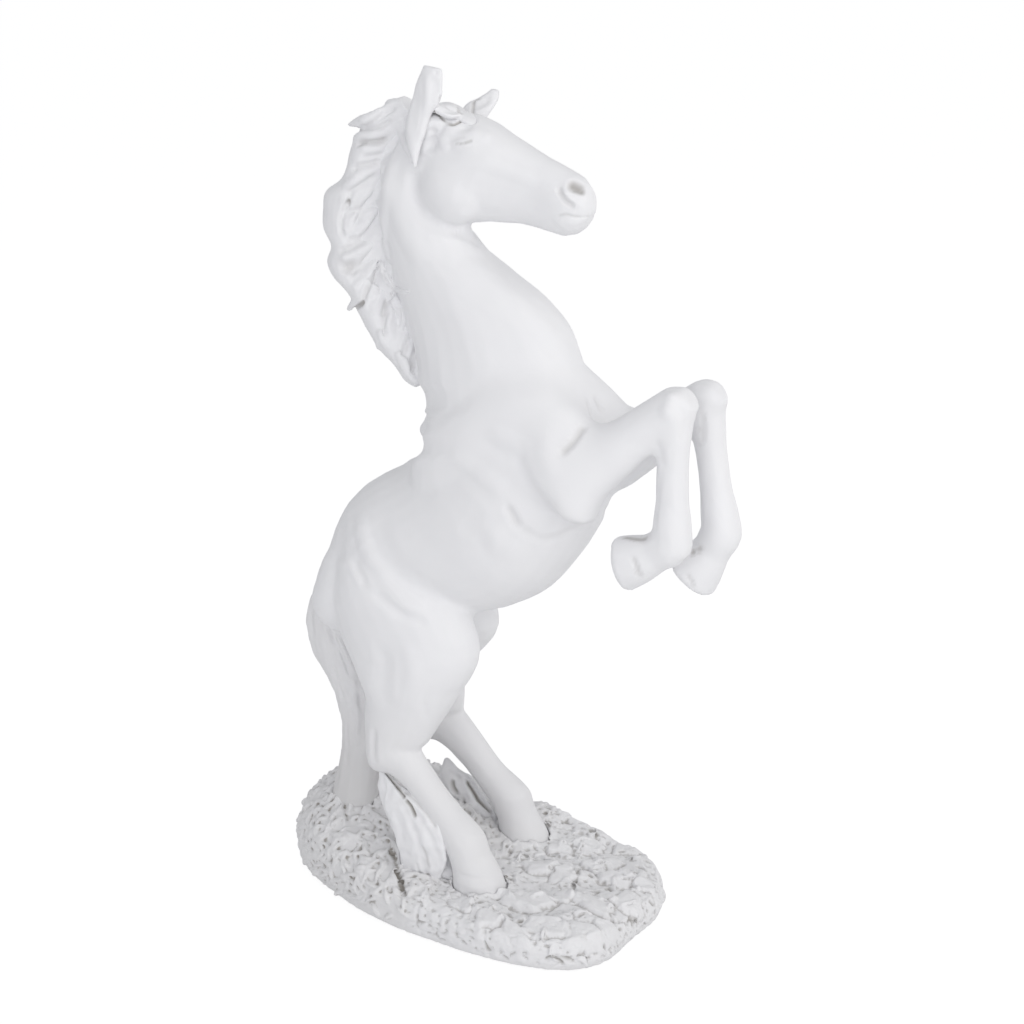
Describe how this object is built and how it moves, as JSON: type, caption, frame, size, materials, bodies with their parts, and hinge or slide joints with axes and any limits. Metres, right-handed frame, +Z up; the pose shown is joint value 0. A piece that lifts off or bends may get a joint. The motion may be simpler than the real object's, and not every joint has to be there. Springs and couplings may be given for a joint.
{
  "type": "rearing horse desk ornament",
  "caption": "White cast-resin figurine of a rearing horse on a rough grass-and-stone ground, with a felted underside.",
  "frame": {"origin": "middle of the underside of the felt pad, on the surface that the ornament stands on", "axes": "+X the way the horse faces, +Y the horse's left side, +Z up"},
  "size_m": [0.1705, 0.0867, 0.2935],
  "materials": {
    "resin": "matte",
    "felt": "matte",
    "steel": "satin"
  },
  "bodies": {
    "root": {"body": "resin", "left_foreleg": "resin", "right_foreleg": "resin", "left_hind_leg": "resin", "right_hind_leg": "resin", "mane": "resin", "forelock": "resin", "left_ear": "resin", "right_ear": "resin", "tail": "resin", "ground_base": "resin", "left_grass_tuft": "resin", "right_grass_tuft": "resin", "base_felt": "felt", "left_foreleg_dowel": "steel", "right_foreleg_dowel": "steel", "left_leg_wire": "steel", "right_leg_wire": "steel", "tail_pin": "steel"}
  },
  "joints": []
}
